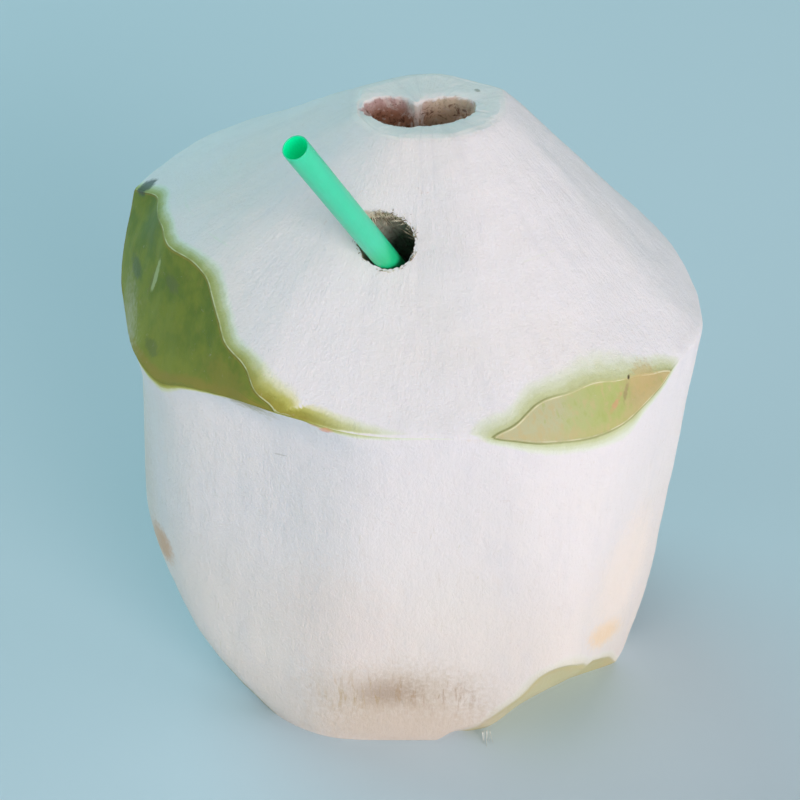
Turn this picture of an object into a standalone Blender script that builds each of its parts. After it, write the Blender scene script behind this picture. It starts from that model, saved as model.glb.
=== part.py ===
"""Young coconut with its husk trimmed by knife, and a straw in the hole bored in its crown.

The husk is one solid: what is left of the natural fruit after the knife. Going down the fruit,
its outside is the nearest of the crown strokes, the side and foot strokes, and the natural skin,
which stays as green patches where no stroke reached it.
Metres, +Z up. The origin is the middle of the flat base, and the side that is seen faces -Y.
"""

import bmesh
import bpy
import numpy as np
from mathutils import Vector

MM = 0.001

# Driving dimensions of the fruit, in millimetres and degrees
HEIGHT = 133.0
SIDE_LEVEL = 62.0        # height at which the side strokes' reach is given
FOOT_SLOPE = 53.0        # of the strokes that round off the foot, from level
STROKE_SOFTNESS = 30.0   # larger is a crisper edge between neighbouring strokes
FOOT_SOFTNESS = 24.0

# One row for each knife stroke round the fruit, the first facing -Y and then anticlockwise:
# slope of the crown stroke, its reach at the top, reach of the side stroke, its outward lean,
# reach of the foot stroke at the base.
STROKES = (
    (50, 12, 48, 4.5, 43.5),
    (49, 13, 53.5, -1, 62),
    (49, 15, 53.5, 6, 62),
    (48, 16.5, 58, 5, 51),
    (47, 19, 57, 2.5, 38),
    (37, 16, 57, 2, 38),
    (34, 16, 57, 2, 38),
    (31, 15, 57, 2, 38),
    (30.5, 16.5, 60, 3, 38),
    (30, 13.5, 61, -3, 39),
    (34, 13, 58, 0.5, 46),
    (42, 13, 48.5, 0.5, 48),
)
FIRST_STROKE = -90.0

# Side strokes that turned out of the husk on the left: stroke, height of the turn, sharpness
TURNS = ((9, 71.5, 0.0215), (10, 72.5, 0.013), (11, 80.0, 0.049))

# The natural fruit is three-sided. Each broad face has its direction, its reach at its widest
# height, that height, and the radius of its curve across and down the fruit.
FACES = (
    (222, 60.5, 53, 103, 123),
    (-58, 59.5, 53.5, 108, 71),
    (95, 60, 60, 75, 225),
)

# Where the natural skin stands a little higher or lower than its broad face: azimuth, height,
# half width in degrees, half height, change of radius
SKIN_TOUCHES = (
    (-168, 108, 6, 6, 1.1),
    (-152, 106, 5, 6, -0.5),
    (-138, 99, 6, 5, 0.9),
    (-128, 93, 6, 4, 1.0),
    (-122, 92.5, 4.5, 3.5, -0.9),
    (-148, 86, 9, 4, 0.75),
    (-165, 82, 9, 5, 1.8),
    (172, 108, 6, 6, -2.2),
    (-76, 87.3, 5, 4, -1.0),
    (-62, 91, 7, 5, -0.45),
    (-41, 91, 6, 5, 0.6),
    (-54, 82, 7, 4, -0.35),
    (-37, 83.5, 8, 4, 0.6),
    (-27, 84.5, 5, 5, -0.7),
    (-46, 0, 17, 8, -3.0),
    (-17, 0, 9, 8, 3.0),
    (-68, 2, 6, 6, 1.4),
    (-80, 0, 4, 4, -1.2),
    (-60, 20.5, 6, 5, -0.95),
    (-47, 15, 6, 4.5, 0.6),
    (-41, 14, 4, 4, -0.6),
    (-37, 11, 6, 5, -0.5),
    (140, 103, 14, 8, 4.0),
)

# Hollow of the bared fruit tip, in the flat top
HOLLOW_CENTRE = (-1.1, -0.5)
HOLLOW_REACH = 8.5       # on average
HOLLOW_OVAL = 2.9        # how much longer it is from left to right
HOLLOW_LOBES = 1.18      # how far its two back lobes stand out, and the ridge between them in
HOLLOW_OVAL_TURN = 0.08  # radians, twice the turn of its long way
HOLLOW_LOBE_TURN = 0.21  # radians, three times the turn of its lobes
HOLLOW_DEPTH = 5.5

# Hole bored for drinking, and the straw that leans in it
BORE_MOUTH = (-7.65, -25.2, 117.35)
BORE_AXIS = (-0.34, -0.56, 0.86)
BORE_RADIUS = 5.4
BORE_END_RADIUS = 5.2
BORE_DEPTH = 36.0
BORE_ABOVE = 9.0
STRAW_MOUTH = (-8.3, -26.85, 115.4)
STRAW_AXIS = (-0.33, -0.52, 0.79)
STRAW_OUT = 45.5
STRAW_IN = 28.0
STRAW_RADIUS = 2.5
STRAW_WALL = 0.25

# Fineness of the mesh
AZIMUTHS = 96
CROWN_RINGS = 9
SKIN_RINGS = 4
SIDE_RINGS = 9
FOOT_RINGS = 2
TOP_RINGS = 2
HEIGHT_SAMPLES = 600
THINNEST_BAND = 0.5
BORE_SIDES = 32
STRAW_SIDES = 24


def clear_scene():
    for thing in list(bpy.data.objects):
        bpy.data.objects.remove(thing, do_unlink=True)


def material(name, colour, roughness, metallic=0.0):
    made = bpy.data.materials.new(name)
    made.use_nodes = True
    shader = made.node_tree.nodes["Principled BSDF"]
    shader.inputs["Base Color"].default_value = (*colour, 1.0)
    shader.inputs["Roughness"].default_value = roughness
    shader.inputs["Metallic"].default_value = metallic
    made.diffuse_color = (*colour, 1.0)
    return made


def add_object(name, mesh, finish):
    thing = bpy.data.objects.new(name, mesh)
    bpy.context.scene.collection.objects.link(thing)
    mesh.materials.append(finish)
    return thing


def strokes_radius(azimuth, reach):
    """Radius left by flat strokes whose reach is given for each azimuth, height and stroke."""
    facing_way = np.radians(FIRST_STROKE + np.arange(len(STROKES)) * 360.0 / len(STROKES))
    facing = np.maximum(0.0, np.cos(azimuth[:, :, None] - facing_way))
    closeness = facing / reach
    nearest = closeness.max(axis=2)
    blend = ((closeness / nearest[:, :, None]) ** STROKE_SOFTNESS).sum(axis=2)
    return 1.0 / (nearest * blend ** (1.0 / STROKE_SOFTNESS))


def crown_radius(azimuth, height):
    slope = np.radians([stroke[0] for stroke in STROKES])
    top_reach = np.array([stroke[1] for stroke in STROKES])
    reach = top_reach + (HEIGHT - height)[:, :, None] / np.tan(slope)
    return strokes_radius(azimuth, reach)


def cut_radius(azimuth, height):
    """Radius left by the side strokes and, near the base, by the foot strokes."""
    side_reach = np.array([stroke[2] for stroke in STROKES])
    lean = np.radians([stroke[3] for stroke in STROKES])
    reach = side_reach + (height - SIDE_LEVEL)[:, :, None] * np.tan(lean)
    for stroke, turn_height, sharpness in TURNS:
        reach[:, :, stroke] += sharpness * np.maximum(0.0, height - turn_height) ** 2
    side = strokes_radius(azimuth, reach)
    foot_reach = np.array([stroke[4] for stroke in STROKES])
    rise = height[:, :, None] / np.tan(np.radians(FOOT_SLOPE))
    foot = strokes_radius(azimuth, foot_reach + rise)
    both = side ** -FOOT_SOFTNESS + foot ** -FOOT_SOFTNESS
    return both ** (-1.0 / FOOT_SOFTNESS)


def skin_radius(azimuth, height):
    """Radius of the natural fruit: the nearest of its three broad faces, and its touches."""
    nearest = np.full(height.shape, np.inf)
    for direction, reach, widest, across, down in FACES:
        face_reach = reach - (height - widest) ** 2 / (2.0 * down)
        offset = face_reach - across
        turn = azimuth - np.radians(direction)
        inside = np.maximum(across ** 2 - (offset * np.sin(turn)) ** 2, 0.0)
        nearest = np.minimum(nearest, offset * np.cos(turn) + np.sqrt(inside))
    for direction, level, half_width, half_height, change in SKIN_TOUCHES:
        away = np.degrees(np.angle(np.exp(1j * (azimuth - np.radians(direction)))))
        fall = (away / half_width) ** 2 + ((height - level) / half_height) ** 2
        nearest = nearest + change * np.exp(-fall)
    return nearest


def first_height(gap, samples, start):
    """Highest sample below start where gap is above zero, for each azimuth."""
    found = (gap > 0.0) & (samples[None, :] <= start[:, None])
    last = len(samples) - 1
    index = np.where(found.any(axis=1), found.argmax(axis=1), last).clip(1, last)
    rows = np.arange(len(gap))
    before = gap[rows, index - 1]
    after = gap[rows, index]
    share = np.clip(before / np.minimum(before - after, -1e-9), 0.0, 1.0)
    return samples[index - 1] + share * (samples[index] - samples[index - 1])


def ring_heights(azimuth):
    """Heights of the mesh's rings, with rings on the edges between cuts and skin."""
    samples = np.linspace(HEIGHT, 0.0, HEIGHT_SAMPLES)
    grid = np.broadcast_to(samples, (len(azimuth), len(samples)))
    crown = crown_radius(azimuth[:, None], grid)
    cut = cut_radius(azimuth[:, None], grid)
    skin = skin_radius(azimuth[:, None], grid)
    top = np.full(len(azimuth), HEIGHT)
    crown_end = first_height(crown - np.minimum(cut, skin), samples, top)
    cut_start = first_height(np.minimum(crown, skin) - cut, samples, crown_end)
    cut_start = np.minimum(cut_start, crown_end - THINNEST_BAND)
    cut_end = first_height(cut - skin, samples, cut_start - THINNEST_BAND)
    cut_end = np.maximum(cut_end, THINNEST_BAND)
    edges = (top, crown_end, cut_start, cut_end, np.zeros(len(azimuth)))
    counts = (CROWN_RINGS, SKIN_RINGS, SIDE_RINGS, FOOT_RINGS)
    heights = [top]
    for upper, lower, count in zip(edges[:-1], edges[1:], counts):
        for step in range(1, count + 1):
            heights.append(upper + (lower - upper) * step / count)
    return np.stack(heights, axis=1)


def hollow_outline(angle):
    """Distance from the hollow's centre to its rim, in the direction of angle."""
    lobes = HOLLOW_LOBES * np.sin(3.0 * angle + HOLLOW_LOBE_TURN)
    return HOLLOW_REACH + HOLLOW_OVAL * np.cos(2.0 * angle - HOLLOW_OVAL_TURN) + lobes


def top_rings(edge):
    """Rings from the top's edge to the hollow's rim, then down its wall and over its floor."""
    centre = np.array(HOLLOW_CENTRE)
    offset = edge[:, :2] - centre
    angle = np.arctan2(offset[:, 1], offset[:, 0])
    direction = np.stack([np.cos(angle), np.sin(angle)], axis=1)
    rim = hollow_outline(angle)[:, None] * direction
    rings = []
    for step in range(1, TOP_RINGS + 1):
        share = step / TOP_RINGS
        flat = centre + offset * (1.0 - share) + rim * share
        rings.append(np.column_stack([flat, np.full(len(flat), HEIGHT)]))
    for narrowing, sinking in ((0.9, 0.45), (0.76, 0.92), (0.42, 1.0)):
        flat = centre + rim * narrowing
        lumps = 1.0 + 0.12 * np.sin(3.0 * angle + 2.0) * narrowing
        rings.append(np.column_stack([flat, HEIGHT - HOLLOW_DEPTH * sinking * lumps]))
    return rings, np.array([*centre, HEIGHT - 0.9 * HOLLOW_DEPTH])


def loft(rings, first_point, last_point):
    """Closed mesh over rings of points in millimetres, capped by a fan at each end."""
    work = bmesh.new()
    loops = [[work.verts.new(Vector(point) * MM) for point in ring] for ring in rings]
    count = len(loops[0])
    for upper, lower in zip(loops[:-1], loops[1:]):
        for here in range(count):
            after = (here + 1) % count
            work.faces.new((upper[here], lower[here], lower[after], upper[after]))
    for loop, point, facing_up in ((loops[0], first_point, True), (loops[-1], last_point, False)):
        middle = work.verts.new(Vector(point) * MM)
        for here in range(count):
            after = (here + 1) % count
            corners = (middle, loop[here], loop[after])
            work.faces.new(corners if facing_up else corners[::-1])
    bmesh.ops.recalc_face_normals(work, faces=work.faces)
    bmesh.ops.triangulate(work, faces=work.faces)
    return work


def to_mesh(work, name):
    mesh = bpy.data.meshes.new(name)
    work.to_mesh(mesh)
    work.free()
    mesh.shade_smooth()
    mesh.set_sharp_from_angle(angle=np.radians(18.0))
    return mesh


def make_husk(finish):
    azimuth = np.arange(AZIMUTHS) * 2.0 * np.pi / AZIMUTHS
    heights = ring_heights(azimuth)
    around = azimuth[:, None]
    radius = np.minimum(crown_radius(around, heights), cut_radius(around, heights))
    radius = np.minimum(radius, skin_radius(around, heights))
    points = np.stack([radius * np.cos(around), radius * np.sin(around), heights], axis=2)
    outside = [points[:, ring, :] for ring in range(points.shape[1])]
    inside_top, floor_middle = top_rings(outside[0])
    base_ring = outside[-1] * np.array([0.5, 0.5, 1.0])
    rings = inside_top[::-1] + outside + [base_ring]
    work = loft(rings, floor_middle, (0.0, 0.0, 0.0))
    return add_object("coconut", to_mesh(work, "coconut"), finish)


def axis_rotation(axis):
    return Vector(axis).to_track_quat("Z", "Y").to_euler()


def make_bore_cutter(husk):
    """Round cutter from above the crown to the blind end of the hole."""
    work = bmesh.new()
    length = BORE_ABOVE + BORE_DEPTH
    bmesh.ops.create_cone(work, cap_ends=True, segments=BORE_SIDES, depth=length * MM,
                          radius1=BORE_END_RADIUS * MM, radius2=BORE_RADIUS * MM)
    middle_height = length / 2.0 - BORE_DEPTH
    bmesh.ops.translate(work, verts=work.verts, vec=(0.0, 0.0, middle_height * MM))
    mesh = bpy.data.meshes.new("bore_cutter")
    work.to_mesh(mesh)
    work.free()
    cutter = bpy.data.objects.new("bore_cutter", mesh)
    bpy.context.scene.collection.objects.link(cutter)
    cutter.location = Vector(BORE_MOUTH) * MM
    cutter.rotation_euler = axis_rotation(BORE_AXIS)
    cutter.hide_render = True
    cutter.display_type = "WIRE"
    cut = husk.modifiers.new("bore", "BOOLEAN")
    cut.operation = "DIFFERENCE"
    cut.solver = "EXACT"
    cut.object = cutter
    return cutter


def make_straw(finish):
    """Open tube, its wall's profile spun round the straw's axis."""
    axis = Vector(STRAW_AXIS).normalized()
    foot = (Vector(STRAW_MOUTH) - axis * STRAW_IN) * MM
    length = (STRAW_IN + STRAW_OUT) * MM
    outer = STRAW_RADIUS * MM
    inner = (STRAW_RADIUS - STRAW_WALL) * MM
    work = bmesh.new()
    corners = ((inner, 0.0), (outer, 0.0), (outer, length), (inner, length))
    profile = [work.verts.new((radius, 0.0, height)) for radius, height in corners]
    edges = [work.edges.new((profile[k], profile[(k + 1) % 4])) for k in range(4)]
    bmesh.ops.spin(work, geom=profile + edges, axis=(0.0, 0.0, 1.0), cent=(0.0, 0.0, 0.0),
                   angle=2.0 * np.pi, steps=STRAW_SIDES, use_merge=True)
    bmesh.ops.remove_doubles(work, verts=work.verts, dist=0.00001)
    bmesh.ops.recalc_face_normals(work, faces=work.faces)
    straw = add_object("straw", to_mesh(work, "straw"), finish)
    straw.location = foot
    straw.rotation_euler = axis_rotation(axis)
    return straw


def build():
    clear_scene()
    husk = make_husk(material("husk", (0.80, 0.79, 0.76), 0.75))
    make_bore_cutter(husk)
    make_straw(material("straw", (0.03, 0.55, 0.30), 0.35))


build()
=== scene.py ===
"""Looks of a young coconut, trimmed by knife, with a green straw in its drinking hole.

The husk is drawn again, finely, from the same dimensions as its solid, and then gets its
relief, its colours and its marks. Lengths are millimetres until a mesh is made of them, but
the floor, the lights and the camera are in metres. Tables give angles in degrees.
"""

from types import SimpleNamespace

import bpy
import numpy as np
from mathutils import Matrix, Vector


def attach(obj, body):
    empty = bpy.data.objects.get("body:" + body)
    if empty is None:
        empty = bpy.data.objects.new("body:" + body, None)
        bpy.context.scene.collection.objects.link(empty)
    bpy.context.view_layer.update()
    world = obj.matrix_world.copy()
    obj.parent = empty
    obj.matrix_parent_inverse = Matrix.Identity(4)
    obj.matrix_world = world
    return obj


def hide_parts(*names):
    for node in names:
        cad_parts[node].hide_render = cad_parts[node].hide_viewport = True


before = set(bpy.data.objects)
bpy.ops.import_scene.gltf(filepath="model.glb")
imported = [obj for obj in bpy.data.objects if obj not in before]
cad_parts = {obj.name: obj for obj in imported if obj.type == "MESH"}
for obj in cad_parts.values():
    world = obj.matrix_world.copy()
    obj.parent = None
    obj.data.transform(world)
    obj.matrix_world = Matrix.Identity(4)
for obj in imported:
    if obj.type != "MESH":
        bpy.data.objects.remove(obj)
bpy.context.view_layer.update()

MM = 0.001
SEED = 11

# Driving dimensions, the same as the solid's
HEIGHT = 133.0
SIDE_LEVEL = 62.0
FOOT_SLOPE = 53.0
STROKE_SOFTNESS = 30.0
FOOT_SOFTNESS = 24.0
# slope of the crown stroke, its reach at the top, reach and outward lean of the side stroke,
# reach of the foot stroke at the base
STROKES = (
    (50, 12, 48, 4.5, 43.5),
    (49, 13, 53.5, -1, 62),
    (49, 15, 53.5, 6, 62),
    (48, 16.5, 58, 5, 51),
    (47, 19, 57, 2.5, 38),
    (37, 16, 57, 2, 38),
    (34, 16, 57, 2, 38),
    (31, 15, 57, 2, 38),
    (30.5, 16.5, 60, 3, 38),
    (30, 13.5, 61, -3, 39),
    (34, 13, 58, 0.5, 46),
    (42, 13, 48.5, 0.5, 48),
)
FIRST_STROKE = -90.0
# Side strokes that turned outwards: which one, above what height and how sharply
TURNS = ((9, 71.5, 0.0215), (10, 72.5, 0.013), (11, 80.0, 0.049))
# Broad faces of the natural fruit: azimuth, reach, height where it is widest, and how round it
# is, as a radius across and a radius down
FACES = (
    (222, 60.5, 53, 103, 123),
    (-58, 59.5, 53.5, 108, 71),
    (95, 60, 60, 75, 225),
)
# Where the natural skin stands a little higher or lower than its broad face: azimuth, height,
# half width in degrees, half height in millimetres, change of radius
SKIN_TOUCHES = (
    (-168, 108, 6, 6, 1.1), (-152, 106, 5, 6, -0.5), (-138, 99, 6, 5, 0.9), (-128, 93, 6, 4, 1.0),
    (-122, 92.5, 4.5, 3.5, -0.9), (-148, 86, 9, 4, 0.75), (-165, 82, 9, 5, 1.8), (172, 108, 6, 6, -2.2),
    (-76, 87.3, 5, 4, -1.0), (-62, 91, 7, 5, -0.45), (-41, 91, 6, 5, 0.6), (-54, 82, 7, 4, -0.35),
    (-37, 83.5, 8, 4, 0.6), (-27, 84.5, 5, 5, -0.7), (-46, 0, 17, 8, -3.0), (-17, 0, 9, 8, 3.0),
    (-68, 2, 6, 6, 1.4), (-80, 0, 4, 4, -1.2), (-60, 20.5, 6, 5, -0.95), (-47, 15, 6, 4.5, 0.6),
    (-41, 14, 4, 4, -0.6), (-37, 11, 6, 5, -0.5), (140, 103, 14, 8, 4.0),
)
# How near the skin was to the ridge between crown and side: azimuth and depth of the cut
RIDGE_DEPTHS = ((-128, -9.0), (-124, 0.3), (-119, 0.1), (-115, -0.2), (-110, -0.7), (-104, -1.2),
                (-98, -1.9), (-90, -2.8), (-83, -3.0), (-77, -1.3), (-73, -0.4), (-68, -9.0))
# How much deeper the cut lies for each millimetre away from that ridge
CROWN_FADE = 1.1
SIDE_FADE = 3.0
# The cut counts as deeper high on the crown, where no green shows
WHITE_ABOVE = 112.0
WHITE_BLEND = 8.0
WHITE_DEPTH = 12.0
# Where the knife went deeper or less deep than the plain shape says, near the foot: azimuth,
# height, half width in degrees, half height in millimetres, change of the cut's depth
CUT_TOUCHES = (
    (-84, 2, 8, 9, -7.5),
    (-56, 23, 5, 4, -0.45),
    (-47, 17, 3, 4, 0.6),
    (-38, 13, 4, 5, -0.35),
)
HOLLOW_CENTRE = (-1.1, -0.5)
HOLLOW_REACH = 8.5
HOLLOW_OVAL = 2.9
HOLLOW_LOBES = 1.18
HOLLOW_OVAL_TURN = 0.08
HOLLOW_LOBE_TURN = 0.21
HOLLOW_DEPTH = 5.5
TONGUE_DIRECTION = 96.0
TONGUE_START = 1.6
TONGUE_LENGTH = 3.6
BORE_MOUTH = (-7.65, -25.2, 117.35)
BORE_AXIS = (-0.34, -0.56, 0.86)
BORE_RADIUS = 5.4
BORE_END_RADIUS = 5.2
BORE_DEPTH = 36.0
BORE_ABOVE = 9.0
STRAW_MOUTH = (-8.3, -26.85, 115.4)
STRAW_AXIS = (-0.33, -0.52, 0.79)
STRAW_OUT = 45.5
STRAW_IN = 28.0
STRAW_RADIUS = 2.5
STRAW_WALL = 0.25

# Fineness of the meshes, and how softly edges turn
AZIMUTHS = 640
CROWN_RINGS = 110
SKIN_RINGS = 50
SIDE_RINGS = 130
FOOT_RINGS = 16
TOP_RINGS = 84
BASE_RINGS = 12
HEIGHT_SAMPLES = 900
THINNEST_BAND = 0.5
RIM_ROUNDING = 0.3
RIM_WIDTH = 1.6
RIDGE_ROUNDING = 0.35
SHARP_ANGLE = 42.0
BORE_SIDES = 288
BORE_RINGS = 90
STRAW_SIDES = 128
STRAND_SIDES = 5

# Radius at which the fibres' directions are laid out
FLOW_RADIUS = 50.0

# Torn fibres at the drinking hole, and wisps at the foot
BORE_TUFTS = 110
UPPER_TUFTS = 46
FOOT_WISPS = 7
WISP_START = (13.2, -41.0, 1.6)
WISP_STEP = (0.3, 0.1)


# Shape of the husk

def strokes_radius(azimuth, reach):
    """Radius left by flat strokes whose reach is given for each azimuth, height and stroke."""
    facing_way = np.radians(FIRST_STROKE + np.arange(len(STROKES)) * 360.0 / len(STROKES))
    facing = np.maximum(0.0, np.cos(azimuth[:, :, None] - facing_way))
    closeness = facing / reach
    nearest = closeness.max(axis=2)
    blend = ((closeness / nearest[:, :, None]) ** STROKE_SOFTNESS).sum(axis=2)
    return 1.0 / (nearest * blend ** (1.0 / STROKE_SOFTNESS))


def crown_radius(azimuth, height):
    slope = np.radians([stroke[0] for stroke in STROKES])
    top_reach = np.array([stroke[1] for stroke in STROKES])
    reach = top_reach + (HEIGHT - height)[:, :, None] / np.tan(slope)
    return strokes_radius(azimuth, reach)


def cut_radius(azimuth, height):
    """Radius left by the side strokes and, near the base, by the foot strokes."""
    side_reach = np.array([stroke[2] for stroke in STROKES])
    lean = np.radians([stroke[3] for stroke in STROKES])
    reach = side_reach + (height - SIDE_LEVEL)[:, :, None] * np.tan(lean)
    for stroke, turn_height, sharpness in TURNS:
        reach[:, :, stroke] += sharpness * np.maximum(0.0, height - turn_height) ** 2
    side = strokes_radius(azimuth, reach)
    foot_reach = np.array([stroke[4] for stroke in STROKES])
    rise = height[:, :, None] / np.tan(np.radians(FOOT_SLOPE))
    foot = strokes_radius(azimuth, foot_reach + rise)
    both = side ** -FOOT_SOFTNESS + foot ** -FOOT_SOFTNESS
    return both ** (-1.0 / FOOT_SOFTNESS)


def skin_radius(azimuth, height):
    """Radius of the natural fruit, the nearest of its three broad faces."""
    nearest = np.full(height.shape, np.inf)
    for direction, reach, widest, across, down in FACES:
        face_reach = reach - (height - widest) ** 2 / (2.0 * down)
        offset = face_reach - across
        turn = azimuth - np.radians(direction)
        inside = np.maximum(across ** 2 - (offset * np.sin(turn)) ** 2, 0.0)
        nearest = np.minimum(nearest, offset * np.cos(turn) + np.sqrt(inside))
    for direction, level, half_width, half_height, change in SKIN_TOUCHES:
        away = np.degrees(np.angle(np.exp(1j * (azimuth - np.radians(direction)))))
        fall = (away / half_width) ** 2 + ((height - level) / half_height) ** 2
        nearest = nearest + change * np.exp(-fall)
    return nearest


def all_radii(azimuth, height):
    """Radius of the crown's cuts, of the side and foot cuts, and of the natural skin."""
    cut = cut_radius(azimuth, height)
    return crown_radius(azimuth, height), cut, skin_radius(azimuth, height)


def green_depth(azimuth, height, crown, cut, skin):
    """How far the cut lies outside the skin; below zero, how deep under the skin it went."""
    depth = np.minimum(crown, cut) - skin
    degrees = np.degrees(np.angle(np.exp(1j * azimuth)))
    ridge = np.interp(degrees, *zip(*RIDGE_DEPTHS))
    above = np.maximum(cut - crown, 0.0)
    below = np.maximum(crown - cut, 0.0)
    depth = np.maximum(depth, ridge - CROWN_FADE * above - SIDE_FADE * below)
    for direction, level, half_width, half_height, change in CUT_TOUCHES:
        fall = ((degrees - direction) / half_width) ** 2 + ((height - level) / half_height) ** 2
        depth = depth + change * np.exp(-fall)
    return depth - np.clip((height - WHITE_ABOVE) / WHITE_BLEND, 0.0, 1.0) * WHITE_DEPTH


def first_height(gap, samples, start):
    """Highest sample below start where gap is above zero, for each azimuth."""
    found = (gap > 0.0) & (samples[None, :] <= start[:, None])
    last = len(samples) - 1
    index = np.where(found.any(axis=1), found.argmax(axis=1), last).clip(1, last)
    rows = np.arange(len(gap))
    before = gap[rows, index - 1]
    after = gap[rows, index]
    share = np.clip(before / np.minimum(before - after, -1e-9), 0.0, 1.0)
    return samples[index - 1] + share * (samples[index] - samples[index - 1])


def ring_heights(azimuth):
    """Heights of the mesh's rings, with rings on the edges between cuts and skin."""
    samples = np.linspace(HEIGHT, 0.0, HEIGHT_SAMPLES)
    grid = np.broadcast_to(samples, (len(azimuth), len(samples)))
    crown, cut, skin = all_radii(azimuth[:, None], grid)
    top = np.full(len(azimuth), HEIGHT)
    crown_end = first_height(crown - np.minimum(cut, skin), samples, top)
    cut_start = first_height(np.minimum(crown, skin) - cut, samples, crown_end)
    cut_start = np.minimum(cut_start, crown_end - THINNEST_BAND)
    cut_end = first_height(cut - skin, samples, cut_start - THINNEST_BAND)
    cut_end = np.maximum(cut_end, THINNEST_BAND)
    edges = (top, crown_end, cut_start, cut_end, np.zeros(len(azimuth)))
    counts = (CROWN_RINGS, SKIN_RINGS, SIDE_RINGS, FOOT_RINGS)
    heights = [top]
    for upper, lower, count in zip(edges[:-1], edges[1:], counts):
        for step in range(1, count + 1):
            heights.append(upper + (lower - upper) * step / count)
    return np.stack(heights, axis=1)


def waves(points, lengths, seed, count=28):
    """Smooth random height between about -1 and 1 over points, its waves that long."""
    random = np.random.default_rng(seed)
    lengths = np.broadcast_to(np.asarray(lengths, float), (3,))
    ways = random.normal(size=(count, 3))
    ways /= np.linalg.norm(ways, axis=1)[:, None]
    rate = 2.0 * np.pi * ways / lengths * random.uniform(0.6, 1.4, (count, 1))
    phase = random.uniform(0.0, 2.0 * np.pi, count)
    flat = points.reshape(-1, 3)
    total = np.zeros(len(flat))
    for k in range(count):
        total += np.sin(flat @ rate[k] + phase[k])
    return (total / np.sqrt(count / 2.0) / 1.6).reshape(points.shape[:-1])


def flow_coordinates(azimuth, height, radius):
    """Coordinates whose third runs down the fruit, as its fibres do."""
    down = (HEIGHT - height) + 0.35 * radius
    return np.stack([FLOW_RADIUS * np.cos(azimuth), FLOW_RADIUS * np.sin(azimuth), down], axis=-1)


def smooth_min(first, second, width):
    lower = np.minimum(first, second)
    return lower - width * np.log1p(np.exp(-np.abs(first - second) / width))


def husk_relief(azimuth, height, radius, crown, cut, skin):
    """How far the finished surface stands out of the plain one, in millimetres."""
    place = np.stack([radius * np.cos(azimuth), radius * np.sin(azimuth), height], axis=-1)
    flow = flow_coordinates(azimuth, height, radius)
    on_cut = 1.0 / (1.0 + np.exp((np.minimum(crown, cut) - skin) / 0.15))
    broad = 0.16 * waves(place, 24.0, SEED + 1) + 0.06 * waves(place, 9.0, SEED + 2)
    near_top = np.clip((HEIGHT - height) / 12.0, 0.0, 1.0)
    streaks = 0.020 * near_top * waves(flow, (5.0, 5.0, 40.0), SEED + 3)
    streaks += 0.012 * near_top * waves(flow, (2.4, 2.4, 18.0), SEED + 4, 40)
    chatter = 0.022 * waves(place, (2.6, 2.6, 2.0), SEED + 5, 48)
    skin_lumps = 0.07 * waves(place, 7.0, SEED + 6)
    return on_cut * (broad + streaks + chatter) + (1.0 - on_cut) * skin_lumps


def outer_points(azimuth):
    """Rings of the outside, from the top's edge down to the base."""
    heights = ring_heights(azimuth)
    around = np.broadcast_to(azimuth[:, None], heights.shape)
    crown, cut, skin = all_radii(azimuth[:, None], heights)
    sharp = np.minimum(crown, cut)
    room = np.clip((skin - sharp) / 1.5, 0.0, 1.0)
    rounded = smooth_min(crown, cut, RIDGE_ROUNDING)
    radius = np.minimum(sharp + (rounded - sharp) * room, skin)
    relief = husk_relief(around, heights, radius, crown, cut, skin)
    fade = np.clip(heights / 1.5, 0.0, 1.0)
    points = np.stack([radius * np.cos(around), radius * np.sin(around), heights], axis=2)
    along = np.gradient(points, axis=1)
    across = np.roll(points, -1, axis=0) - np.roll(points, 1, axis=0)
    normal = np.cross(along, across)
    normal /= np.linalg.norm(normal, axis=2)[:, :, None] + 1e-12
    outward = np.sign((normal * points * np.array([1.0, 1.0, 0.0])).sum(axis=2))
    from_rim = (HEIGHT - heights) * 1.4
    relief = relief - RIM_ROUNDING * np.clip(1.0 - from_rim / RIM_WIDTH, 0.0, 1.0) ** 2
    points = points + normal * (outward * relief * fade)[:, :, None]
    points[:, -1, 2] = 0.0
    points[:, :, 2] = np.clip(points[:, :, 2], 0.0, HEIGHT + 0.2)
    return [points[:, ring, :] for ring in range(points.shape[1])]


def hollow_outline(angle):
    """Distance from the hollow's centre to its rim, in the direction of angle."""
    lobes = HOLLOW_LOBES * np.sin(3.0 * angle + HOLLOW_LOBE_TURN)
    return HOLLOW_REACH + HOLLOW_OVAL * np.cos(2.0 * angle - HOLLOW_OVAL_TURN) + lobes


def hollow_facts(flat):
    """For points of the flat top: how far inside the hollow's rim, and the tongue's share."""
    offset = flat - np.array(HOLLOW_CENTRE)
    angle = np.arctan2(offset[:, 1], offset[:, 0])
    place = np.column_stack([flat, np.zeros(len(flat))])
    inside = (hollow_outline(angle) - np.hypot(offset[:, 0], offset[:, 1])) * 0.9
    inside += 0.22 * waves(place, 3.4, SEED + 7) + 0.14 * waves(place, 1.2, SEED + 8)
    way = np.radians(TONGUE_DIRECTION)
    along = offset @ np.array([np.cos(way), np.sin(way)])
    aside = offset @ np.array([-np.sin(way), np.cos(way)])
    half = np.interp(along, (2.0, 3.5, 5.5, 7.5), (0.6, 1.1, 1.9, 3.2))
    rise = np.clip((along - TONGUE_START) / TONGUE_LENGTH, 0.0, 1.0)
    tongue = rise * (3.0 - 2.0 * rise) * np.exp(-((aside / half) ** 4))
    return inside, np.clip(tongue, 0.0, 1.0)


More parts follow.
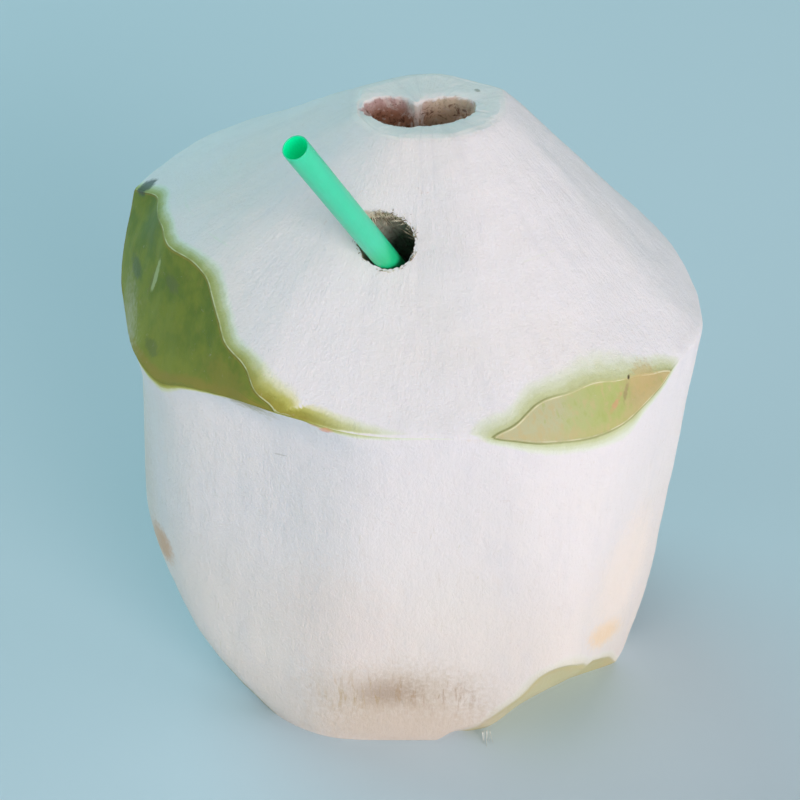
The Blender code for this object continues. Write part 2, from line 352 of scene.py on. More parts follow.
def top_height(flat):
    """Height of the top, with its hollow, over points of the plane."""
    inside, tongue = hollow_facts(flat)
    place = np.column_stack([flat, np.zeros(len(flat))])
    height = HEIGHT + 0.10 * waves(place, 7.0, SEED + 9) + 0.03 * waves(place, 2.0, SEED + 10)
    within = np.maximum(inside, 0.0)
    sinking = 1.0 - np.exp(-((within / 0.85) ** 1.6))
    folds = 0.85 * waves(place, (7.0, 2.6, 3.0), SEED + 12) + 0.35 * waves(place, 1.8, SEED + 13)
    folds *= np.clip(within / 1.5, 0.0, 1.0) * (1.0 - 0.7 * tongue)
    floor = HOLLOW_DEPTH * (1.0 - tongue) + folds
    dip = 0.25 * np.exp(-(np.minimum(inside, 0.0) / 1.1) ** 2) * (1.0 - tongue)
    # one short groove beside the hollow, to its right
    x, y = flat.T
    groove = 0.5 * np.exp(-((y + 0.4 + 0.6 * (x - 10.5)) / 0.3) ** 2)
    groove *= np.clip((x - 9.2) / 0.5, 0.0, 1.0) * np.clip((13.4 - x) / 1.5, 0.0, 1.0)
    return height - floor * sinking - dip - groove * (1.0 - sinking)


def top_points(edge):
    """Rings from the top's edge over its flat and down into the hollow."""
    centre = np.array(HOLLOW_CENTRE)
    offset = edge[:, :2] - centre
    reach = np.linalg.norm(offset, axis=1)
    rings = []
    for step in range(1, TOP_RINGS + 1):
        share = 1.0 - step / (TOP_RINGS + 1.0)
        flat = centre + offset * share
        from_rim = reach * (1.0 - share)
        round_off = RIM_ROUNDING * np.clip(1.0 - from_rim / RIM_WIDTH, 0.0, 1.0) ** 2
        blend = np.clip(from_rim / 0.6, 0.0, 1.0)
        height = edge[:, 2] * (1.0 - blend) + (top_height(flat) - round_off) * blend
        rings.append(np.column_stack([flat, height]))
    return rings, np.array([*centre, rings[-1][:, 2].mean()])


def closed_mesh(name, rings, first_point, last_point):
    """Closed mesh over rings of points in millimetres, capped by a fan at each end."""
    count = len(rings[0])
    points = np.concatenate([np.concatenate(rings), [first_point, last_point]]) * MM
    first_middle = len(points) - 2
    last_middle = len(points) - 1
    here = np.arange(count)
    after = (here + 1) % count
    quads = []
    for ring in range(len(rings) - 1):
        upper = ring * count
        lower = upper + count
        quads.append(np.stack([upper + here, lower + here, lower + after, upper + after], axis=1))
    quads = np.concatenate(quads)
    start = (len(rings) - 1) * count
    first_fan = np.stack([np.full(count, first_middle), here, after], axis=1)
    last_fan = np.stack([np.full(count, last_middle), start + after, start + here], axis=1)
    faces = quads.tolist() + first_fan.tolist() + last_fan.tolist()
    mesh = bpy.data.meshes.new(name)
    mesh.from_pydata(points.tolist(), [], faces)
    mesh.update()
    mesh.validate()
    return mesh


def circle(count):
    """Angles of count points spread evenly round."""
    return np.arange(count) * 2.0 * np.pi / count


def add_object(name, data):
    thing = bpy.data.objects.new(name, data)
    bpy.context.scene.collection.objects.link(thing)
    return thing


def axis_frame(axis):
    """Unit axis and two unit directions across it, the first up the crown."""
    axis = np.array(axis) / np.linalg.norm(axis)
    up = np.array([0.0, 0.0, 1.0]) - axis * axis[2]
    up /= np.linalg.norm(up)
    return axis, up, np.cross(axis, up)


def bore_cutter():
    """Round cutter with a fibrous side, which leaves the drinking hole's wall."""
    axis, up, side = axis_frame(BORE_AXIS)
    angle = circle(BORE_SIDES)
    spokes = np.cos(angle)[:, None] * up + np.sin(angle)[:, None] * side
    rings = []
    for step in range(BORE_RINGS + 1):
        along = BORE_ABOVE - (BORE_ABOVE + BORE_DEPTH) * step / BORE_RINGS
        depth = max(0.0, -along)
        radius = BORE_RADIUS + (BORE_END_RADIUS - BORE_RADIUS) * depth / BORE_DEPTH
        place = np.column_stack([6.0 * np.cos(angle), 6.0 * np.sin(angle), np.full(BORE_SIDES, along)])
        ridges = 0.13 * waves(place, (1.5, 1.5, 14.0), SEED + 20)
        ridges += 0.09 * waves(place, (0.7, 0.7, 7.0), SEED + 21)
        ridges += 0.12 * waves(place, 4.0, SEED + 22)
        wall = radius + np.clip(ridges, -0.18, 0.35)
        rings.append(np.array(BORE_MOUTH) + axis * along + spokes * wall[:, None])
    top = np.array(BORE_MOUTH) + axis * BORE_ABOVE
    floor = np.array(BORE_MOUTH) - axis * BORE_DEPTH
    return add_object("bore_cutter", closed_mesh("bore_cutter", rings, top, floor))


def set_attribute(mesh, name, values):
    kind = "FLOAT_VECTOR" if values.ndim == 2 else "FLOAT"
    layer = mesh.attributes.new(name, kind, "POINT")
    field = "vector" if values.ndim == 2 else "value"
    layer.data.foreach_set(field, values.astype(np.float32).ravel())


def add_husk_attributes(mesh):
    """Facts about each point of the husk that its material goes by, in millimetres."""
    points = np.empty(len(mesh.vertices) * 3)
    mesh.vertices.foreach_get("co", points)
    points = points.reshape(-1, 3) / MM
    azimuth = np.arctan2(points[:, 1], points[:, 0])[:, None]
    height = np.clip(points[:, 2], 0.0, HEIGHT)[:, None]

    def facts(turn, rise):
        radii = all_radii(azimuth + turn, height + rise)
        depth = green_depth(azimuth + turn, height + rise, *radii)
        return radii, np.minimum.reduce(radii), depth

    # small steps round and up, to tell how steeply the depth changes
    turn = 0.008
    rise = 0.3
    (crown, cut, _), outside, depth = facts(0.0, 0.0)
    _, outside_above, depth_above = facts(0.0, rise)
    across = (facts(turn, 0.0)[2] - depth) / (turn * outside)
    along = (depth_above - depth) / np.hypot(rise, outside_above - outside)
    edge = depth / np.maximum(np.hypot(across, along), 0.02)
    actual = np.hypot(points[:, 0], points[:, 1])
    axis = np.array(BORE_AXIS) / np.linalg.norm(BORE_AXIS)
    from_mouth = points - np.array(BORE_MOUTH)
    along_bore = from_mouth @ axis
    from_axis = np.linalg.norm(from_mouth - along_bore[:, None] * axis, axis=1)
    near_bore = (from_axis < BORE_RADIUS + 1.2) & (along_bore < 8.0)
    sunk = np.where(near_bore, outside[:, 0] - actual, 0.0)
    inside, tongue = hollow_facts(points[:, :2])
    on_top = (points[:, 2] > HEIGHT - 12.0) & (actual < 17.0) & (inside > -0.5)
    hollow = np.where(on_top, HEIGHT - points[:, 2], 0.0)
    set_attribute(mesh, "depth", np.clip(depth[:, 0], -30.0, 30.0))
    set_attribute(mesh, "edge", np.clip(edge[:, 0], -12.0, 12.0))
    set_attribute(mesh, "crown", np.clip((cut - crown)[:, 0], -12.0, 12.0))
    set_attribute(mesh, "sunk", np.clip(sunk, -1.0, 60.0))
    set_attribute(mesh, "hollow", np.clip(hollow, 0.0, 20.0))
    set_attribute(mesh, "tongue", np.where(on_top, tongue, 0.0))
    set_attribute(mesh, "flow", flow_coordinates(azimuth[:, 0], points[:, 2], actual))


def make_husk():
    outside = outer_points(circle(AZIMUTHS))
    inside_top, floor_middle = top_points(outside[0])
    base = []
    for step in range(1, BASE_RINGS + 1):
        base.append(outside[-1] * np.array([1.0 - step / (BASE_RINGS + 1.0)] * 2 + [1.0]))
    rings = inside_top[::-1] + outside + base
    plain = add_object("husk_uncut", closed_mesh("husk_uncut", rings, floor_middle, (0.0, 0.0, 0.0)))
    cutter = bore_cutter()
    cut = plain.modifiers.new("bore", "BOOLEAN")
    cut.operation = "DIFFERENCE"
    cut.solver = "MANIFOLD"
    cut.object = cutter
    evaluated = plain.evaluated_get(bpy.context.evaluated_depsgraph_get())
    mesh = bpy.data.meshes.new_from_object(evaluated)
    mesh.name = "husk"
    bpy.data.objects.remove(plain, do_unlink=True)
    bpy.data.objects.remove(cutter, do_unlink=True)
    mesh.materials.clear()
    mesh.shade_smooth()
    mesh.set_sharp_from_angle(angle=np.radians(SHARP_ANGLE))
    add_husk_attributes(mesh)
    return add_object("husk", mesh)


# Straw and fibres

def make_straw():
    """Open tube with rounded lips and faint lines along it from the die it came through."""
    axis, up, side = axis_frame(STRAW_AXIS)
    foot = np.array(STRAW_MOUTH) - axis * STRAW_IN
    length = STRAW_IN + STRAW_OUT
    angle = circle(STRAW_SIDES)
    spokes = np.cos(angle)[:, None] * up + np.sin(angle)[:, None] * side
    inner = STRAW_RADIUS - STRAW_WALL
    middle = STRAW_RADIUS - STRAW_WALL / 2.0
    lip = STRAW_WALL / 2.0
    profile = []
    for level in np.linspace(lip, length - lip, 60):
        profile.append((STRAW_RADIUS, level))
    for turn in np.radians([30.0, 60.0, 90.0, 120.0, 150.0]):
        profile.append((middle + lip * np.cos(turn), length - lip + lip * np.sin(turn)))
    for level in np.linspace(length - lip, lip, 60):
        profile.append((inner, level))
    for turn in np.radians([210.0, 240.0, 270.0, 300.0, 330.0]):
        profile.append((middle + lip * np.cos(turn), lip + lip * np.sin(turn)))
    lines = 0.006 * np.sin(23.0 * angle + 0.4) + 0.004 * np.sin(41.0 * angle)
    rings = []
    for radius, level in profile:
        rings.append(foot + axis * level + spokes * (radius + lines)[:, None])
    points = np.concatenate(rings) * MM
    here = np.arange(STRAW_SIDES)
    after = (here + 1) % STRAW_SIDES
    quads = []
    for ring in range(len(rings)):
        low = ring * STRAW_SIDES
        high = ((ring + 1) % len(rings)) * STRAW_SIDES
        quads.append(np.stack([low + here, low + after, high + after, high + here], axis=1))
    mesh = bpy.data.meshes.new("green_straw")
    mesh.from_pydata(points.tolist(), [], np.concatenate(quads).tolist())
    mesh.update()
    mesh.shade_smooth()
    levels = np.repeat([level for _, level in profile], STRAW_SIDES)
    reaches = np.repeat([radius for radius, _ in profile], STRAW_SIDES)
    set_attribute(mesh, "inner", np.where(reaches <= inner + 0.01, 1.0, 0.0))
    set_attribute(mesh, "from_end", length - levels)
    return add_object("green_straw", mesh)


def strand(path, thickness):
    """Points and faces of a closed thin tube along path, thinner towards its tip."""
    sides = STRAND_SIDES
    path = np.asarray(path)
    heading = np.gradient(path, axis=0)
    heading /= np.linalg.norm(heading, axis=1)[:, None]
    helper = np.array([0.3, 0.2, 0.93])
    first = np.cross(heading, helper)
    first /= np.linalg.norm(first, axis=1)[:, None]
    second = np.cross(heading, first)
    taper = thickness * np.linspace(1.0, 0.25, len(path))
    turn = circle(sides)
    points = []
    for k in range(len(path)):
        for a in turn:
            points.append(path[k] + taper[k] * (np.cos(a) * first[k] + np.sin(a) * second[k]))
    faces = []
    for k in range(len(path) - 1):
        for s in range(sides):
            n = (s + 1) % sides
            faces.append((k * sides + s, k * sides + n, (k + 1) * sides + n, (k + 1) * sides + s))
    faces.append(tuple(range(sides))[::-1])
    last = (len(path) - 1) * sides
    faces.append(tuple(range(last, last + sides)))
    return points, faces


def mesh_of_strands(name, strands):
    points = []
    faces = []
    for some_points, some_faces in strands:
        start = len(points)
        points.extend((np.asarray(some_points) * MM).tolist())
        faces.extend(tuple(start + corner for corner in face) for face in some_faces)
    mesh = bpy.data.meshes.new(name)
    mesh.from_pydata(points, [], faces)
    mesh.update()
    mesh.shade_smooth()
    return add_object(name, mesh)


def crown_point(point, axis):
    """Point moved along axis onto the crown's plain surface."""
    low = -12.0
    high = 12.0
    for _ in range(30):
        middle = (low + high) / 2.0
        here = point + axis * middle
        azimuth = np.array([[np.arctan2(here[1], here[0])]])
        height = np.array([[here[2]]])
        if np.hypot(here[0], here[1]) < crown_radius(azimuth, height)[0, 0]:
            low = middle
        else:
            high = middle
    return point + axis * low


def make_bore_fibres():
    """Torn husk fibres in tufts, most of them at the upper side of the drinking hole."""
    random = np.random.default_rng(SEED + 30)
    axis, up, side = axis_frame(BORE_AXIS)
    strands = []
    for k in range(BORE_TUFTS):
        upper = k < UPPER_TUFTS
        middle = random.normal(0.1, 0.75) if upper else random.uniform(0.0, 2.0 * np.pi)
        length = random.uniform(0.8, 3.2) if upper else random.uniform(0.3, 0.9)
        lean_in = random.uniform(-0.3, 0.8)
        drop = random.uniform(-0.5, 0.9) if upper else random.uniform(-0.7, 0.3)
        sway = random.normal(0.0, 0.5)
        for _ in range(random.integers(2, 7)):
            angle = middle + random.normal(0.0, 0.08)
            spoke = np.cos(angle) * up + np.sin(angle) * side
            across = np.cross(axis, spoke)
            rim = crown_point(np.array(BORE_MOUTH) + spoke * (BORE_RADIUS + 0.1), axis)
            start = rim - axis * random.uniform(0.0, 1.4) + spoke * 0.25
            own_length = length * random.uniform(0.5, 1.15)
            own_lean = lean_in + random.normal(0.0, 0.2)
            own_drop = drop + random.normal(0.0, 0.2)
            curl = random.normal(0.0, 0.6)
            path = []
            for share in np.linspace(0.0, 1.0, 7):
                run = own_length * share
                point = start - spoke * run * own_lean - axis * run * own_drop
                path.append(point + across * (sway * run + curl * share * share))
            strands.append(strand(path, random.uniform(0.05, 0.15)))
    return mesh_of_strands("bore_fibres", strands)


def make_foot_wisps():
    """Whitish fibres that hang from the foot at the front and lie on the ground."""
    random = np.random.default_rng(SEED + 31)
    strands = []
    for k in range(FOOT_WISPS):
        start = np.array(WISP_START)
        start[:2] += np.array(WISP_STEP) * k
        start += random.normal(0.0, 0.15, 3)
        way = np.array([random.normal(0.15, 0.22), -1.0, 0.0])
        length = random.uniform(1.6, 3.8)
        path = []
        for share in np.linspace(0.0, 1.0, 9):
            point = start + way * length * share
            point[2] = max(0.12, start[2] * (1.0 - 1.3 * share))
            path.append(point)
        strands.append(strand(path, random.uniform(0.05, 0.11)))
    return mesh_of_strands("foot_wisps", strands)


# Materials

def srgb(red, green, blue):
    """Linear colour for one given in the 0 to 255 that a screen shows."""
    made = []
    for level in (red, green, blue):
        level = level / 255.0
        made.append(level / 12.92 if level <= 0.04045 else ((level + 0.055) / 1.055) ** 2.4)
    return tuple(made)


class Nodes:
    """Short ways to add shader nodes to one material. A colour is a socket, or red, green and
    blue as a screen shows them."""

    def __init__(self, name):
        self.material = bpy.data.materials.new(name)
        self.material.use_nodes = True
        self.tree = self.material.node_tree
        self.shader = self.tree.nodes["Principled BSDF"]

    def put(self, socket, value):
        if isinstance(value, bpy.types.NodeSocket):
            self.tree.links.new(value, socket)
        elif isinstance(value, tuple):
            size = len(socket.default_value)
            socket.default_value = value + (1.0,) * (size - len(value))
        else:
            socket.default_value = value

    def paint(self, socket, colour):
        self.put(socket, srgb(*colour) if isinstance(colour, tuple) else colour)

    def surface(self, name, value):
        """Sets or links one of the shader's own inputs."""
        self.put(self.shader.inputs[name], value)

    def node(self, kind, inputs, **settings):
        """New node, with values or sockets for its inputs by name or number."""
        made = self.tree.nodes.new(kind)
        for key, value in settings.items():
            setattr(made, key, value)
        for key, value in inputs.items():
            self.put(made.inputs[key], value)
        return made

    def attribute(self, name, output="Fac"):
        return self.node("ShaderNodeAttribute", {}, attribute_name=name).outputs[output]

    def place(self):
        """Position on the piece, in millimetres."""
        made = self.node("ShaderNodeTexCoord", {})
        return self.scale(made.outputs["Object"], (1.0 / MM,) * 3)

    def scale(self, vector, factors):
        made = self.node("ShaderNodeVectorMath", {0: vector, 1: factors}, operation="MULTIPLY")
        return made.outputs[0]

    def math(self, operation, first, second):
        return self.node("ShaderNodeMath", {0: first, 1: second}, operation=operation).outputs[0]

    def times(self, first, second):
        return self.math("MULTIPLY", first, second)

    def plus(self, first, second):
        return self.math("ADD", first, second)

    def larger(self, first, second):
        return self.math("MAXIMUM", first, second)

    def swing(self, share, reach):
        """A noise's value made to swing round zero, by half of reach either way."""
        return self.times(self.math("SUBTRACT", share, 0.5), reach)

    def ease(self, value, start, end, low=0.0, high=1.0):
        """Goes smoothly from low at start to high at end."""
        inputs = {"Value": value, "From Min": start, "From Max": end, "To Min": low, "To Max": high}
        made = self.node("ShaderNodeMapRange", inputs, interpolation_type="SMOOTHSTEP")
        return made.outputs["Result"]

    def band(self, value, start, full, last, end):
        """One between full and last, and nothing outside start and end."""
        return self.times(self.ease(value, start, full), self.ease(value, last, end, 1.0, 0.0))

    def noise(self, vector, scale, detail=3.0, roughness=0.6, distortion=0.0):
        inputs = {"Vector": vector, "Scale": scale, "Detail": detail, "Roughness": roughness,
                  "Distortion": distortion}
        return self.node("ShaderNodeTexNoise", inputs).outputs["Fac"]

    def mix(self, share, first, second):
        """Colour that goes from first to second as share goes from zero to one."""
        made = self.node("ShaderNodeMix", {0: share}, data_type="RGBA", clamp_factor=True)
        # several sockets have the same names, so those for colours go by number
        self.paint(made.inputs[6], first)
        self.paint(made.inputs[7], second)
        return made.outputs[2]

    def tint(self, colour, over, value, start, end, low=0.0, high=1.0):
        """Colour with another laid over it, whose share goes from low at start to high at end."""
        return self.mix(self.ease(value, start, end, low, high), colour, over)

    def ramp(self, value, *stops):
        """Colour that goes through stops, each a level of value and red, green and blue."""
        start = stops[0][0]
        end = stops[-1][0]
        share = self.node("ShaderNodeMapRange", {"Value": value, "From Min": start, "From Max": end})
        made = self.node("ShaderNodeValToRGB", {"Fac": share.outputs["Result"]})
        made.color_ramp.interpolation = "EASE"
        elements = made.color_ramp.elements
        while len(elements) < len(stops):
            elements.new(0.5)
        for element, (level, *colour) in zip(elements, stops):
            element.position = (level - start) / (end - start)
            element.color = (*srgb(*colour), 1.0)
        return made.outputs["Color"]

    def bump(self, height, distance, strength, **normal):
        inputs = {"Height": height, "Distance": distance, "Strength": strength, **normal}
        return self.node("ShaderNodeBump", inputs).outputs["Normal"]


# Marks: centre, half sizes, lean of its long side, colour, strength, raggedness, softness, and
# whether it runs in streaks along the fibres
MARKS = (
    ((-54.8, -10, 99.6), (2.5, 0.8, 5.2), -10, (176, 186, 134), 0.7, 0.5, 0.6, False),
    ((-56, -9, 97), (2.5, 0.5, 5), -10, (120, 120, 62), 0.5, 0.8, 0.8, False),
    ((-60.3, -0.2, 96), (4, 4, 2), 0, (84, 100, 64), 0.7, 0.6, 0.8, False),
    ((-51, -16, 101.6), (2.4, 3, 1.6), 0, (98, 106, 60), 0.55, 0.7, 0.8, False),
    ((-55.8, -17.6, 87.4), (2.6, 3, 1.4), 0, (96, 106, 60), 0.55, 0.7, 0.8, False),
    ((-58, -1, 107), (4, 9, 5), 0, (84, 106, 62), 0.5, 0.5, 1, False),
    ((-37, -38, 91.5), (9, 8, 4), 25, (142, 132, 52), 0.6, 0.6, 1, False),
    ((-58.7, 15.3, 106.5), (5, 2.6, 1.5), 0, (60, 80, 78), 0.8, 0.5, 0.8, False),
    ((-19.3, -48.3, 88.1), (1.6, 2, 0.8), 0, (228, 158, 122), 0.7, 0.6, 0.8, False),
    ((-21.5, -47.5, 89), (1.2, 2, 0.35), 8, (212, 166, 146), 0.5, 0.5, 0.7, False),
    ((-28.8, -39.5, 75.9), (1.4, 3, 0.22), -12, (184, 180, 172), 0.5, 0.5, 0.6, False),
    ((40.8, -31.8, 89.9), (0.42, 1.2, 0.65), -15, (66, 54, 34), 0.95, 0.3, 0.4, False),
    ((40.2, -33.6, 87.2), (0.5, 2.4, 2.4), 14, (150, 132, 92), 0.6, 0.9, 0.8, False),
    ((37.6, -35.8, 85.8), (0.6, 2.4, 2.6), 40, (206, 150, 116), 0.6, 0.9, 0.8, False),
    ((44, -30, 88), (4, 4, 3), 0, (196, 172, 118), 0.6, 0.9, 0.9, False),
    ((-57, -15.5, 35), (3.4, 9, 4.4), 0, (208, 158, 112), 0.7, 0.5, 1, False),
    ((-61, -8, 52), (4.5, 10, 26), 0, (208, 197, 184), 0.6, 0.7, 1.8, False),
    ((-61.5, -2, 78), (2.4, 9, 14), 0, (192, 184, 166), 0.5, 0.6, 1.6, False),
    ((-40, -30.5, 5.9), (12.5, 9, 1.3), 40, (136, 138, 96), 0.6, 0.3, 1.2, False),
    ((-6.5, -44.4, 15), (17, 7, 9), 0, (194, 178, 156), 0.75, 0.8, 1.8, False),
    ((-7.5, -44.4, 16), (6.5, 6, 4.2), 0, (158, 134, 116), 0.5, 0.9, 1.8, False),
    ((-13, -44.4, 15.5), (9, 6, 6.5), 0, (176, 150, 104), 0.6, 0.7, 1.4, True),
    ((3, -44.4, 13.5), (9, 6, 6.5), 0, (172, 144, 116), 0.55, 0.7, 1.4, True),
    ((-4, -44.4, 5), (24, 7, 7), 0, (206, 190, 172), 0.65, 0.6, 1.2, False),
    ((40.2, -28.4, 19.4), (8, 14, 2.3), 57, (236, 202, 152), 0.75, 0.6, 1.4, False),
    ((43.9, -25.1, 34), (9, 16, 17), 0, (243, 228, 214), 0.6, 0.4, 1, False),
    ((-20, -46, 34), (15, 9, 17), 0, (226, 214, 206), 0.5, 0.8, 1, False),
    ((11, 8, 132.8), (0.6, 0.8, 1.2), 0, (158, 156, 146), 0.7, 0.6, 0.8, False),
    ((-9.4, -22.4, 120.6), (3, 2.2, 1.4), 0, (176, 160, 120), 0.7, 0.9, 1, False),
    ((10, -46.5, 86.8), (5, 3, 0.9), 0, (222, 208, 178), 0.5, 0.6, 1, False),
)
# Shares of a mark's softness that lie inside and outside its edge
SOFT_INSIDE = 0.5
SOFT_OUTSIDE = 0.35


def husk_facts(nodes):
    """What the husk's colours go by: where a point is, and how the knife and the skin lie."""
    at = SimpleNamespace(place=nodes.place(), flow=nodes.attribute("flow", "Vector"))
    for name in ("depth", "edge", "crown", "sunk", "hollow", "tongue"):
        setattr(at, name, nodes.attribute(name))
    at.across, at.back, at.height = nodes.node("ShaderNodeSeparateXYZ", {0: at.place}).outputs
    at.grain = nodes.noise(at.place, 1.6)
    at.streaks = nodes.noise(nodes.scale(at.flow, (0.9, 0.9, 0.12)), 1.0, 4.0, 0.6, 0.6)
    at.on_crown = nodes.ease(at.crown, -0.6, 0.6)
    at.on_side = nodes.ease(at.crown, -1.0, 1.5, 1.0, 0.0)
    at.above_foot = nodes.ease(at.height, 26.0, 40.0)
    # the skin is deep green on the left of the fruit and paler on its right
    at.paleness = nodes.ease(at.across, -26.0, 2.0)
    at.on_left = nodes.math("SUBTRACT", 1.0, at.paleness)
    return at


def husk_white(nodes, at):
    """Colour of the cut husk: nearly white, cooler on the crown, warmer down the side."""
    clouds = nodes.noise(at.place, 0.035, 3.0, 0.5)
    wide = nodes.noise(nodes.scale(at.flow, (0.14, 0.14, 0.05)), 1.0, 3.0, 0.55)
    sparse = nodes.noise(nodes.scale(at.flow, (1.5, 1.5, 0.28)), 1.0, 2.0, 0.5, 1.2)
    side = nodes.ramp(at.height, (0, 216, 207, 197), (25, 226, 218, 211),
                      (60, 228, 223, 221), (95, 227, 223, 224))
    white = nodes.mix(at.on_crown, side, (229, 227, 228))
    white = nodes.tint(white, (242, 240, 238), at.height, HEIGHT - 0.8, HEIGHT - 0.1)
    white = nodes.tint(white, (230, 224, 215), clouds, 0.45, 0.7, 0.0, 0.3)
    white = nodes.tint(white, (208, 208, 212), wide, 0.50, 0.75, 0.0, 0.25)
    low = nodes.ease(at.height, 40.0, 105.0, 1.0, 0.25)
    lines = nodes.times(nodes.ease(at.streaks, 0.56, 0.76, 0.0, 0.16), low)
    white = nodes.mix(lines, white, (196, 184, 168))
    threads = nodes.times(nodes.ease(sparse, 0.68, 0.78, 0.0, 0.35), low)
    white = nodes.mix(threads, white, (196, 190, 160))
    return nodes.tint(white, (200, 198, 196), at.grain, 0.52, 0.72, 0.0, 0.10)


def green_layer(nodes, at, colour):
    """Green layer under the skin, seen where a stroke went only just under it: a soft fringe on
    the crown, wider on the right, and a narrow one on the side."""
    low_left = nodes.times(nodes.ease(at.height, 92.0, 102.0, 1.0, 0.0), at.on_left)
    crown_rate = nodes.math("SUBTRACT", 1.05, nodes.times(at.paleness, 0.15))
    crown_rate = nodes.math("SUBTRACT", crown_rate, nodes.times(low_left, 0.3))
    crown_rate = nodes.times(crown_rate, at.on_crown)
    rate = nodes.plus(nodes.ease(at.crown, -0.6, 0.6, 2.1, 0.0), crown_rate)
    depth_rate = nodes.ease(at.paleness, 0.0, 1.0, 3.2, 2.6)
    level = nodes.larger(nodes.times(at.edge, rate), nodes.times(at.depth, depth_rate))
    level = nodes.plus(level, nodes.swing(nodes.noise(at.place, 0.35), 1.3))
    upper = nodes.ramp(level, (-4, 226, 229, 226), (-2.8, 216, 226, 210), (-2, 196, 208, 176),
                       (-1.3, 178, 190, 138), (-0.6, 162, 172, 108), (0, 150, 158, 86))
    lower = nodes.ramp(level, (-4, 228, 228, 218), (-2.6, 220, 218, 176), (-1.7, 186, 184, 98),
                       (-0.9, 158, 154, 68), (0, 150, 140, 60))
    right = nodes.ramp(level, (-4, 226, 227, 222), (-2.6, 220, 224, 208), (-1.6, 208, 214, 184),
                       (-0.8, 196, 202, 158), (0, 184, 188, 138))
    green = nodes.mix(at.paleness, nodes.mix(low_left, upper, lower), right)
    fainter_low = nodes.ease(at.above_foot, 0.0, 1.0, 0.3, 1.0)
    return nodes.mix(nodes.times(nodes.ease(level, -3.9, -2.4), fainter_low), colour, green)


def skin_colour(nodes, at):
    """Deep green on the left, and paler and drier in the lens on the right."""
    mottle = nodes.noise(at.place, 0.20, 4.0, 0.6)
    fine = nodes.noise(nodes.scale(at.place, (1.0, 1.0, 0.35)), 0.8)
    deep = nodes.tint((100, 118, 36), (122, 132, 42), mottle, 0.35, 0.65)
    deep = nodes.tint(deep, (132, 128, 50), fine, 0.5, 0.75, 0.0, 0.4)
    deep = nodes.tint(deep, (146, 148, 58), at.height, 84.0, 100.0, 0.6, 0.0)
    along = nodes.plus(at.across, nodes.swing(mottle, 14.0))
    pale = nodes.ramp(along, (12, 182, 180, 142), (24, 182, 182, 142), (30, 176, 182, 124),
                      (38, 172, 180, 108), (44, 182, 168, 116), (54, 188, 168, 116))
    pale = nodes.tint(pale, (190, 174, 126), fine, 0.48, 0.66, 0.0, 0.55)
    pale = nodes.tint(pale, (162, 174, 92), fine, 0.32, 0.44, 0.45, 0.0)
    pale = nodes.tint(pale, (194, 188, 150), at.height, 24.0, 34.0, 0.8, 0.0)
    return nodes.mix(at.paleness, deep, pale)


def skin_layer(nodes, at, colour):
    """Skin, with a tan line at its upper edge and a tan band along its lower one in front."""
    loose = nodes.plus(at.edge, nodes.swing(nodes.noise(at.place, 0.5, 2.0, 0.5), 1.6))
    tan_low = nodes.times(nodes.band(loose, 0.0, 0.6, 1.2, 2.6), at.on_side)
    tan_low = nodes.times(tan_low, nodes.ease(at.back, -4.0, -16.0))
    tan_high = nodes.times(nodes.band(at.edge, 0.02, 0.12, 0.28, 0.6), 0.8)
    tan = nodes.larger(tan_low, tan_high)
    tan = nodes.times(tan, nodes.ease(at.paleness, 0.0, 1.0, 0.75, 0.35))
    tan_colour = nodes.mix(at.paleness, (152, 134, 58), (192, 176, 124))
    skin = nodes.mix(tan, skin_colour(nodes, at), tan_colour)
    blur = nodes.ease(at.above_foot, 0.0, 1.0, 0.5, 0.08)
    on_skin = nodes.ease(at.edge, nodes.times(blur, -1.0), blur)
    return nodes.mix(on_skin, colour, skin)


def skin_edges(nodes, at, colour):
    """Painted highlight as a patchy pale line along the skin's lip, and a thin dark line where the
    knife came out of the skin.
    """
    patchy = nodes.ease(nodes.noise(at.place, 0.25, 2.0, 0.5), 0.4, 0.6, 0.25, 0.8)
    # painted highlight: a pale line along the lip at the skin's edge, on the crown at the left and on
    # the skin at the right
    painted_highlight_left = nodes.times(nodes.band(at.edge, -0.28, -0.18, -0.05, 0.05), at.on_crown)
    painted_highlight_left = nodes.times(painted_highlight_left, at.on_left)
    painted_highlight_right = nodes.times(nodes.band(at.edge, 0.0, 0.12, 0.25, 0.42), at.paleness)
    # lip is the painted highlight's share, made patchy
    lip = nodes.times(nodes.larger(painted_highlight_left, painted_highlight_right), patchy)
    lip = nodes.times(lip, at.above_foot)
    # painted highlight colour laid over the skin's edge
    colour = nodes.mix(lip, colour, nodes.mix(at.paleness, (206, 212, 168), (216, 214, 176)))
    dark_low = nodes.times(nodes.band(at.edge, -0.4, -0.2, -0.05, 0.1), at.on_side)
    dark_high = nodes.times(nodes.band(at.edge, -0.5, -0.3, -0.12, 0.02), at.paleness)
    dark_high = nodes.times(dark_high, nodes.ease(at.across, 20.0, 32.0, 1.0, 0.0))
    dark = nodes.larger(nodes.times(dark_low, 0.6), dark_high)
    dark = nodes.times(nodes.times(dark, 0.75), at.above_foot)
    return nodes.mix(dark, colour, nodes.mix(at.paleness, (118, 124, 58), (128, 132, 80)))


